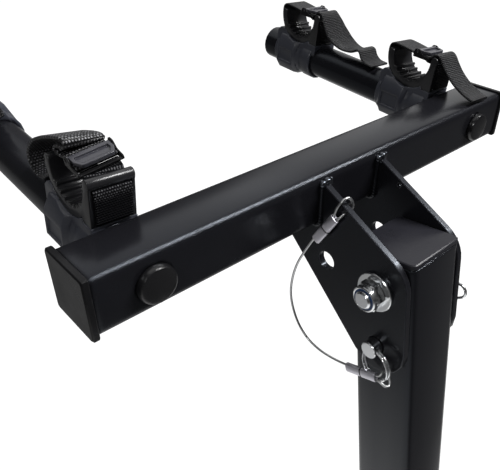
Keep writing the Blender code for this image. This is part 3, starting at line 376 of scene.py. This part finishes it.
# Looks by the solids' material names, and then those of single pieces
LOOKS = {
    "black_powder_coat": powder_coat(),
    "bright_zinc": zinc(),
    "sleeve_aluminium": aluminium(),
    "steel_cable": steel_cable(),
    "blue_nylon": nylon_ring(),
    "black_plastic": plastic("black_plastic_cap", (0.006, 0.006, 0.0065), (0.010, 0.010, 0.011), 0.3,
                             specular=0.12),
    "moulded_nylon": plastic("cradle_nylon", (0.030, 0.032, 0.042), (0.042, 0.045, 0.058), 0.36,
                             specular=0.5, round_off=0.0016),
    "soft_liner": plastic("liner_rubber", (0.009, 0.009, 0.010), (0.014, 0.014, 0.016), 0.29,
                          grain=1000.0, specular=0.5),
}
# The side plates' light edge lines are painted highlights
PLATE_COAT = powder_coat("plate_coat", edge_wear_and_light=0.85)
PLUG_PLASTIC = plastic("plug_plastic", (0.006, 0.006, 0.0065), (0.010, 0.010, 0.011), 0.2,
                       specular=0.4, round_off=0.0014)
# The levers' light rims are painted edge highlights
LEVER_NYLON = plastic("lever_nylon", (0.026, 0.026, 0.032), (0.038, 0.038, 0.047), 0.28, specular=0.5)
OTHER_LOOKS = {
    "crossbar_tube": powder_coat("tube_coat", roughness=0.215, specular=0.26, round_off=0.0042, edge_wear_and_light=0.2),
    "mast_tube": powder_coat("mast_coat", roughness=0.19, round_off=0.0042, edge_wear_and_light=0.1),
    "mast_top_cap": plastic("mast_cap_plastic", (0.011, 0.011, 0.014), (0.019, 0.019, 0.024), 0.32,
                            grain=420.0, depth=0.0002, specular=0.24, edge_wear_and_highlight=0.12),
    "side_plate_left": PLATE_COAT,
    "side_plate_right": PLATE_COAT,
    "arm_plug_left": PLUG_PLASTIC,
    "arm_plug_right": PLUG_PLASTIC,
    **{f"buckle_lever_{name}": LEVER_NYLON for name in CRADLES},
}


# Shading of the carried-over nodes: their facets are joined and only real edges stay sharp
SAME_POINT = 1e-6  # points nearer than this are joined


def shading_group(degrees):
    group = bpy.data.node_groups.new("soft_shading", "GeometryNodeTree")
    group.interface.new_socket("Geometry", in_out="INPUT", socket_type="NodeSocketGeometry")
    group.interface.new_socket("Geometry", in_out="OUTPUT", socket_type="NodeSocketGeometry")
    made = group.nodes
    link = group.links.new
    start, end = made.new("NodeGroupInput"), made.new("NodeGroupOutput")
    merge = made.new("GeometryNodeMergeByDistance")
    merge.inputs["Distance"].default_value = SAME_POINT
    angle = made.new("GeometryNodeInputMeshEdgeAngle")
    sharp = made.new("FunctionNodeCompare")
    sharp.data_type = "FLOAT"
    sharp.operation = "GREATER_THAN"
    sharp.inputs[1].default_value = math.radians(degrees)
    normals = made.new("GeometryNodeSetMeshNormal")
    normals.mode = "SHARPNESS"
    link(start.outputs[0], merge.inputs[0])
    link(merge.outputs[0], normals.inputs["Mesh"])
    link(angle.outputs["Unsigned Angle"], sharp.inputs[0])
    link(sharp.outputs[0], normals.inputs["Edge Sharpness"])
    link(normals.outputs[0], end.inputs[0])
    return group


shading = shading_group(32.0)


def shade(obj, name):
    step = obj.modifiers.new(name, "NODES")
    step.node_group = shading


def round_edges(obj, width, degrees):
    """Rounds the edges that turn by more than so many degrees."""
    rounding = obj.modifiers.new("edges", "BEVEL")
    rounding.width = width
    rounding.segments = 2
    rounding.limit_method = "ANGLE"
    rounding.angle_limit = math.radians(degrees)


for name, node in nodes.items():
    used = node.data.materials[0].name.split(".")[0]
    if used in LOOKS:
        node.data.materials[0] = OTHER_LOOKS.get(name, LOOKS[used])
    shade(node, "soft_shading")
    if name.startswith("cradle_body"):
        round_edges(node, 0.001, 35)
        shade(node, "soft_edges")

# Lanyard: the cable's route through its two sleeves, in the crossbar's frame
# Length of a sleeve, half the distance of its barrels, and the cable's diameter
SLEEVE, SPREAD, CABLE = 27.0, 1.55, 1.8
# The cable's strands, the length of their turn, and the depth between them as a share of the radius
STRANDS, LAY, GROOVE = 6, 9.0, 0.16
# Each sleeve's start, its direction, and the way from its middle to the cable's main line
UPPER = (Vector((-38.0, -23.0, -27.0)), Vector((0.0707, -0.509, 0.859)), Vector((0.0, 0.86, 0.51)))
LOWER = (Vector((-42.3, -65.3, -115.1)), Vector((0.0, -0.938, 0.347)), Vector((0.0, 0.347, 0.938)))


def along_sleeve(sleeve, share, side):
    """Point at a share of a sleeve's length, in the barrel on one side of it."""
    start, direction, across = sleeve
    return start + direction * SLEEVE * share + across * SPREAD * side


def lanyard_route():
    main = (0.0, 0.25, 0.5, 0.75, 1.0)
    back = (0.03, *main[1:])
    ring_loop = [
        (-42.2, -95.4, -107.6), (-40.6, -98.4, -109.6), (-38.0, -99.2, -110.2), (-35.6, -97.6, -108.2),
        (-34.9, -94.6, -104.8), (-36.2, -92.9, -102.2), (-38.8, -92.5, -101.3), (-41.2, -93.4, -101.9),
    ]
    free = [
        (-41.6, -60.5, -115.9), (-41.0, -49.0, -119.4), (-41.0, -36.0, -120.6), (-41.3, -24.0, -117.6),
        (-41.8, -14.6, -109.5), (-42.4, -8.4, -97.5), (-43.0, -5.6, -83.5), (-43.0, -6.6, -68.0),
        (-42.3, -10.4, -52.5), (-40.6, -15.6, -39.5),
    ]
    plate_loop = [
        (-35.4, -36.3, 1.8), (-34.4, -37.4, 5.2), (-32.6, -38.6, 8.2), (-29.4, -39.5, 9.8),
        (-26.2, -40.0, 8.4), (-24.2, -40.3, 5.4), (-23.7, -40.5, 2.2), (-24.7, -40.5, -0.2),
        (-26.8, -40.5, -0.9), (-29.0, -40.5, -0.9), (-31.4, -40.5, -0.9), (-33.4, -40.3, -1.5),
        (-35.0, -39.6, -2.9),
    ]
    lower_back = [along_sleeve(LOWER, share, -1) for share in back]
    lower_main = [along_sleeve(LOWER, share, 1) for share in reversed(main)]
    upper_main = [along_sleeve(UPPER, share, 1) for share in main]
    upper_back = [along_sleeve(UPPER, share, -1) for share in reversed(back)]
    return smooth([*lower_back, *ring_loop, *lower_main, *free, *upper_main, *plate_loop, *upper_back],
                  spacing=1.0)


def carried_frames(points):
    """Side and up at each point of a line, carried along it without twist."""
    frames = []
    side = Vector((1.0, 0.0, 0.0))
    for i in range(len(points)):
        along = (points[min(i + 1, len(points) - 1)] - points[max(i - 1, 0)]).normalized()
        side = (side - side.dot(along) * along).normalized()
        frames.append((side, along.cross(side)))
    return frames


def build_lanyard():
    route = lanyard_route()
    rings = []
    travelled = 0.0
    sides = 24
    for i, (point, (side, up)) in enumerate(zip(route, carried_frames(route))):
        if i:
            travelled += (point - route[i - 1]).length
        twist = math.tau * travelled / LAY
        ring = []
        for k in range(sides):
            angle = math.tau * k / sides
            lobe = abs(math.cos(STRANDS / 2 * (angle - twist)))
            radius = CABLE / 2 * (1.0 - GROOVE + GROOVE * lobe ** 0.5)
            ring.append(point + radius * (math.cos(angle) * side + math.sin(angle) * up))
        rings.append(ring)
    cable = show("lanyard", skin(rings, "lanyard"), HEAD, "head", LOOKS["steel_cable"])
    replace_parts(cable, "lanyard_cable")


build_lanyard()


# Painted shade: dark bands set into the gaps between the two crimped barrels of each sleeve
def build_gap_shade():
    gap_shade = plastic("sleeve_gap", (0.010, 0.010, 0.012), (0.016, 0.016, 0.018), 0.5)
    middle, radius, offset = SLEEVE / 2, 2.04, SPREAD * 0.95
    for name, (start, direction, across) in (("upper", UPPER), ("lower", LOWER)):
        direction = direction.normalized()
        across = (across - across.dot(direction) * direction).normalized()
        turn = Matrix((across, direction.cross(across), direction)).transposed().to_4x4()
        place = Matrix.Translation(start) @ turn
        rings = []
        for height in (-0.48, -0.3, 0.0, 0.3, 0.48):
            ring = []
            for k in range(32):
                angle = math.tau * k / 32
                x = math.copysign(offset, math.cos(angle)) + radius * math.cos(angle)
                ring.append(place @ Vector((x, radius * math.sin(angle), middle + height)))
            rings.append(ring)
        mesh = skin(rings, f"sleeve_gap_{name}")
        show(f"sleeve_gap_{name}", mesh, HEAD, "head", gap_shade)


build_gap_shade()

# Straps: the same middle lines as the part's solids, with rounded edges and the weave's own coordinates
CUP, ROUND_CUP = (-0.5, 40.0), 26.4  # middle of the cup, and the long strap's distance from it
STRAP_WIDTH, STRAP_THICK = 25.0, 2.0
SHORT_WIDTH, SHORT_THICK = 23.5, 1.4
BUCKLE_FRONT, BUCKLE_REAR, BAR_REAR, BASE = -8.5, 7.5, -6.3, 1.2
IN_BUCKLE = BASE + 0.3 + STRAP_THICK / 2 + 0.05  # height of the strap's middle in the buckle
CLOSED = ((0.0, -8.4, 42.4), (0.0, 0.0, 0.0))
# How the long strap's free end lies, and the buckle's place and turn
POSES = {
    "left_front": ("open", ((0.4, -7.8, 47.2), (math.radians(3), math.radians(-11), math.radians(-2)))),
    "left_rear": ("down", CLOSED),
    "right_front": ("on_bar", CLOSED),
    "right_rear": ("loose", CLOSED),
}


def station(y, z, rise=0.0, x=0.0):
    """Point of a strap's middle line in the cradle's frame, with the direction across the strap."""
    return Vector((x, y, z, *Vector((1.0, 0.0, rise)).normalized()))


def in_buckle(pose, y, z):
    """The same for a point given in the buckle's own frame."""
    turn = Euler(pose[1]).to_matrix()
    return Vector((*(Vector(pose[0]) + turn @ Vector((0.0, y, z))), *turn.col[0]))


def strap_points(kind, pose):
    """Over the cup from its rear, through the buckle, to the free end. An open strap is a loose fold."""
    ends = ((BUCKLE_REAR + 0.5, 0.0), (4.0, 0.0), (-4.0, 0.0), (BUCKLE_FRONT - 0.3, 0.1))
    through = [in_buckle(pose, y, IN_BUCKLE + lift) for y, lift in ends]
    if kind == "open":
        loose = [station(17.3, 20.4), station(20.6, 23.9), station(22.4, 26.6), station(26.2, 27.6, 0.05),
                 station(31.4, 24.8, 0.1), station(38.0, 21.4, 0.2), station(46.0, 20.2, 0.25),
                 station(53.0, 22.8, 0.2), station(55.0, 29.0, 0.1), station(50.5, 35.6),
                 station(44.0, 40.4, -0.1), station(36.0, 45.0, -0.1), station(28.0, 49.0, -0.1),
                 station(19.0, 52.6, -0.1), station(10.5, 55.6, -0.1), station(4.8, 57.0, -0.1),
                 station(1.6, 55.8, -0.05), station(3.6, 53.6), station(8.6, 52.3), station(13.0, 50.9),
                 station(15.2, 48.9), station(13.2, 47.1), station(8.8, 47.6, 0.15, 1.0)]
        return [*loose, in_buckle(pose, BUCKLE_REAR + 4.5, IN_BUCKLE + 0.2), *through[:3]]
    over = [station(*spot(ROUND_CUP, angle, CUP)) for angle in (-48, -34, -20, -6, 6)]
    over += [station(24.8, 45.2), station(21.4, 46.8), station(14.0, 46.6), station(6.0, 45.7)]
    crest = [station(-19.2, 46.3), station(-21.0, 48.2), station(-24.2, 48.9), station(-27.6, 46.9)]
    if kind == "on_bar":
        tail = [station(-31.6, 42.4), station(-37.0, 37.0), station(-45.0, 31.2), station(-53.0, 27.2),
                station(-60.0, 24.6), station(-67.0, 23.0)]
    elif kind == "down":
        tail = [station(-30.4, 42.4), station(-32.0, 37.0), station(-33.2, 31.0), station(-34.6, 25.0),
                station(-36.6, 20.6)]
    else:
        tail = [station(-33.0, 40.8, 0.25), station(-40.0, 33.4, 0.4), station(-49.0, 27.8, 0.25),
                station(-58.0, 24.6, 0.1), station(-66.0, 24.0), station(-72.0, 25.4), station(-76.6, 28.2),
                station(-80.4, 27.6), station(-83.8, 22.8), station(-89.0, 19.4), station(-98.0, 18.6)]
    return [*over, *through, *crest, *tail]


def short_strap_points(kind, pose):
    """Up the outside of the cup's front wall, through its slot, and round the buckle's front bar."""
    outside = [station(-27.1, z) for z in (19.6, 28.0, 35.8)]
    slot = [station(-27.0, 38.2), station(-26.1, 39.8), station(-23.4, 40.7)]
    if kind == "open":
        slot += [station(-18.9, 41.5), station(-17.9, 43.0, 0.12)]
        first = (-0.8, -2.3)
    else:
        slot.append(station(-19.4, 41.0))
        first = (-0.3, -1.9)
    middle = (BUCKLE_FRONT + BAR_REAR) / 2
    turn = (first, (1.1, -1.8), (2.25, -1.1), (2.5, 0.1))
    return [*outside, *slot, *[in_buckle(pose, middle + y, BASE / 2 + z) for y, z in turn]]


def webbing(path, width, thickness, name):
    """Flat strap with rounded edges; its UVs are millimetres across and along."""
    places = [Vector(point[:3]) for point in path]
    rings, uvs = [], []
    travelled = 0.0
    radius = thickness / 2
    flat = width / 2 - radius
    outline = [(flat * k / 4, radius) for k in range(-4, 5)]
    for turn in (math.pi * k / 4 for k in (1, 2, 3)):
        outline.append((flat + radius * math.sin(turn), radius * math.cos(turn)))
    outline += [(-x, -y) for x, y in outline]
    for i, here in enumerate(places):
        if i:
            travelled += (here - places[i - 1]).length
        along = (places[min(i + 1, len(places) - 1)] - places[max(i - 1, 0)]).normalized()
        across = Vector(path[i][3:])
        across = (across - across.dot(along) * along).normalized()
        up = along.cross(across)
        rings.append([here + across * a + up * b for a, b in outline])
        uvs.append([(a, travelled) for a, b in outline])
    return skin(rings, name, uvs)


def build_straps():
    long_cloth = woven("webbing_25", STRAP_WIDTH, pitch=1.6, light_thread=0.055, specular=0.2)
    # The open strap's brighter threads are painted glints, light catching its weave
    open_cloth = woven("webbing_25_reverse", STRAP_WIDTH, pitch=1.75, light_thread=0.22, specular=0.4)
    # The short strap's light top rows are a painted highlight where it curves into its slot
    short_cloth = woven("webbing_23", SHORT_WIDTH, pitch=1.5, light_thread=0.10, specular=0.03,
                        painted_highlight_from=14.0)
    for name in CRADLES:
        kind, pose = POSES[name]
        place = seat(name)
        cloth = open_cloth if kind == "open" else long_cloth
        path = smooth(strap_points(kind, pose), spacing=1.2)
        mesh = webbing(path, STRAP_WIDTH, STRAP_THICK, f"webbing_{name}")
        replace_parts(show(f"webbing_{name}", mesh, place, "head", cloth), f"strap_{name}")
        path = smooth(short_strap_points(kind, pose), spacing=0.9)
        mesh = webbing(path, SHORT_WIDTH, SHORT_THICK, f"short_webbing_{name}")
        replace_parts(show(f"short_webbing_{name}", mesh, place, "head", short_cloth),
                    f"buckle_strap_{name}")


build_straps()


# Liners: the part's form with its moulded edges rounded
def build_liners():
    for name in CRADLES:
        node = nodes[f"cradle_liner_{name}"]
        work = bmesh.new()
        work.from_mesh(node.data)
        bmesh.ops.remove_doubles(work, verts=work.verts, dist=SAME_POINT)
        bmesh.ops.dissolve_limit(work, angle_limit=math.radians(1), verts=work.verts, edges=work.edges)
        mesh = bpy.data.meshes.new(f"liner_{name}")
        work.to_mesh(mesh)
        work.free()
        mesh.transform(Matrix.Scale(1.0 / MM, 4))
        liner = show(f"liner_{name}", mesh, Matrix.Identity(4), "head", LOOKS["soft_liner"])
        round_edges(liner, 0.0006, 40)
        shade(liner, "soft_shading")
        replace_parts(liner, node.name)


build_liners()


# Weld beads between the side plates and the crossbar, and lumps at the plates' upper front corners
WELD_X, BEAD_OFFSET = 28.7, 3.4  # about the middle of a side plate, and the beads' distance from it
WELD_TOP = 12.6
OUTSIDE = -20.0  # just outside the crossbar's front and lower faces
BEAD, RIPPLE, RIPPLE_STEPS = 1.35, 0.4, 4.0  # a bead's radius, its ripples' height, rings to each ripple
LUMPS = ((-3.3, 0.2, 0.4, 2.5), (0.2, -0.6, 1.7, 2.7), (3.2, 0.0, -0.4, 2.2), (-0.8, -1.2, -1.6, 2.0),
         (4.2, -0.4, 2.2, 1.4))  # offsets and radius


def build_bead(name, x):
    """Down the crossbar's front face, round its lower corner and back along its lower face."""
    corner = [(x, -19.9, WELD_TOP), *[(x, OUTSIDE, z) for z in (6.0, -2.0, -10.0)], (x, -19.9, -17.4),
              (x, -17.4, -19.9), *[(x, y, OUTSIDE) for y in (-10.0, 0.0, 10.0, 17.5)]]
    line = smooth(corner, spacing=0.55)
    rings = []
    for i, (point, (side, up)) in enumerate(zip(line, carried_frames(line))):
        wave = 0.5 - 0.5 * math.cos(math.tau * i / RIPPLE_STEPS)
        taper = min(1.0, 0.35 + min(i, len(line) - 1 - i) / 4.0)
        radius = (BEAD + RIPPLE * wave + 0.12 * math.sin(i * 1.7)) * taper
        angles = [math.tau * k / 12 for k in range(12)]
        rings.append([point + radius * (math.cos(angle) * side + math.sin(angle) * up) for angle in angles])
    show(name, skin(rings, name), HEAD, "head", LOOKS["black_powder_coat"])


def build_welds():
    glossy = powder_coat("glossy_weld", roughness=0.2, specular=1.0)
    for side, sign in (("left", -1), ("right", 1)):
        build_bead(f"weld_{side}_outer", sign * (WELD_X + BEAD_OFFSET))
        build_bead(f"weld_{side}_inner", sign * (WELD_X - BEAD_OFFSET))
        lumps = bmesh.new()
        for dx, dy, dz, radius in LUMPS:
            place = Matrix.Translation((sign * WELD_X + dx, OUTSIDE - 0.4 + dy, WELD_TOP + dz))
            bmesh.ops.create_icosphere(lumps, subdivisions=3, radius=radius, matrix=place)
        mesh = bpy.data.meshes.new(f"weld_lump_{side}")
        lumps.to_mesh(mesh)
        lumps.free()
        mesh.shade_smooth()
        show(f"weld_lump_{side}", mesh, HEAD, "head", glossy)


build_welds()


# Floor and light
class Tone:
    """Short calls for the nodes that set how light the floor and the world are for each kind of ray."""

    def __init__(self, tree, coordinate):
        self.tree = tree
        self.place = tree.nodes.new("ShaderNodeTexCoord").outputs[coordinate]
        self.way = tree.nodes.new("ShaderNodeVectorMath")
        self.way.operation = "NORMALIZE"
        tree.links.new(self.place, self.way.inputs[0])

    def math(self, operation, a, b):
        """Of two numbers or sockets."""
        node = self.tree.nodes.new("ShaderNodeMath")
        node.operation = operation
        for value, socket in zip((a, b), node.inputs):
            if isinstance(value, bpy.types.NodeSocket):
                self.tree.links.new(value, socket)
            else:
                socket.default_value = value
        return node.outputs[0]

    def total(self, level, *terms):
        """The level, and each term's amount times its share."""
        for amount, share in terms:
            level = self.math("ADD", level, self.math("MULTIPLY", share, amount))
        return level

    def toward(self, direction, low, high):
        """Rises from 0 to 1 as a direction turns towards the given one."""
        dot = self.tree.nodes.new("ShaderNodeVectorMath")
        dot.operation = "DOT_PRODUCT"
        dot.inputs[1].default_value = Vector(direction).normalized()
        self.tree.links.new(self.way.outputs[0], dot.inputs[0])
        return self.ease(dot.outputs["Value"], low, high)

    def ease(self, value, low, high):
        node = self.tree.nodes.new("ShaderNodeMapRange")
        node.interpolation_type = "SMOOTHSTEP"
        node.inputs["From Min"].default_value = low
        node.inputs["From Max"].default_value = high
        self.tree.links.new(value, node.inputs["Value"])
        return node.outputs["Result"]

    def distance(self, low, high):
        """Rises from 0 to 1 between two distances from the origin."""
        length = self.tree.nodes.new("ShaderNodeVectorMath")
        length.operation = "LENGTH"
        self.tree.links.new(self.place, length.inputs[0])
        return self.ease(length.outputs["Value"], low, high)

    def by_ray(self, camera, mirror, other):
        """One level for the camera's rays, one for reflections and clear parts, one for the light itself."""
        path = self.tree.nodes.new("ShaderNodeLightPath")
        mirrored = self.math("MAXIMUM", path.outputs["Is Glossy Ray"], path.outputs["Is Transmission Ray"])
        seen = path.outputs["Is Camera Ray"]
        rest = self.math("SUBTRACT", 1.0, self.math("MAXIMUM", mirrored, seen))
        return self.total(0.0, (camera, seen), (mirror, mirrored), (other, rest))


def build_floor():
    floor_mesh = bpy.data.meshes.new("floor")
    half = 12.0
    corners = [(-half, -half, 0.0), (half, -half, 0.0), (half, half, 0.0), (-half, half, 0.0)]
    floor_mesh.from_pydata(corners, [], [(0, 1, 2, 3)])
    floor = bpy.data.objects.new("floor", floor_mesh)
    floor.location.z = cad_box[0].z - 0.5 * MM
    bpy.context.scene.collection.objects.link(floor)
    made = bpy.data.materials.new("pale_floor")
    made.use_nodes = True
    tree = made.node_tree
    shader = tree.nodes["Principled BSDF"]
    shader.inputs["Roughness"].default_value = 0.9
    glow = tree.nodes.new("ShaderNodeEmission")
    tone = Tone(tree, "Object")
    # A little below white round the rack, so that its shadow stays visible
    white = tone.total(0.8, (0.2, tone.distance(0.4, 2.2)))
    # Reflections find a lighter floor behind the rack, towards its right rear, and close by on its left
    near_left = tone.math("MULTIPLY", tone.distance(1.35, 0.5), tone.toward((-0.9, 0.4, 0.0), -0.1, 0.6))
    mirror = tone.total(0.0, (0.2, tone.toward((-0.35, 1.0, 0.0), -0.3, 0.5)),
                        (0.5, tone.toward((0.7, 0.7, 0.0), 0.75, 0.98)), (0.8, near_left))
    tree.links.new(tone.by_ray(white, mirror, 0.0), glow.inputs["Strength"])
    # The floor's own colour, darker in reflections and in the light that it throws back
    tree.links.new(tone.by_ray(0.2, 0.07, 0.07), shader.inputs["Base Color"])
    both = tree.nodes.new("ShaderNodeAddShader")
    tree.links.new(shader.outputs[0], both.inputs[0])
    tree.links.new(glow.outputs[0], both.inputs[1])
    tree.links.new(both.outputs[0], tree.nodes["Material Output"].inputs["Surface"])
    floor_mesh.materials.append(made)


def add_lamp(name, place, target, size, power):
    """A rectangular lamp that faces its target, its first side along X as far as that allows."""
    data = bpy.data.lights.new(name, "AREA")
    data.shape = "RECTANGLE"
    data.size, data.size_y = size
    data.energy = power
    made = bpy.data.objects.new(name, data)
    bpy.context.scene.collection.objects.link(made)
    made.location = place
    back = (Vector(place) - Vector(target)).normalized()
    wide = (Vector((1.0, 0.0, 0.0)) - back.x * back).normalized()
    made.rotation_euler = Matrix((wide, back.cross(wide), back)).transposed().to_euler()


def build_light():
    world = bpy.data.worlds.new("studio")
    world.use_nodes = True
    bpy.context.scene.world = world
    tree = world.node_tree
    background = tree.nodes["Background"]
    background.inputs["Color"].default_value = (1.0, 1.0, 1.0, 1.0)
    tone = Tone(tree, "Generated")
    # In reflections the surroundings are dark but for one soft panel at the right rear
    mirror = tone.total(0.07, (0.88, tone.toward((0.785, 0.453, 0.423), 0.91, 0.995)))
    tree.links.new(tone.by_ray(1.0, mirror, 0.2), background.inputs["Strength"])

    add_lamp("overhead", (0.2, 0.9, 2.6), (0.0, 0.3, 0.7), size=(2.4, 2.4), power=17.0)
    add_lamp("front_strip", (1.15, -0.9, 2.5), (0.0, 0.3, 0.79), size=(1.5, 0.16), power=95.0)
    add_lamp("left_fill", (-1.7, -0.6, 2.0), (-0.1, 0.35, 0.8), size=(0.4, 0.4), power=10.0)


build_floor()
build_light()
bpy.context.scene.view_settings.view_transform = "Standard"
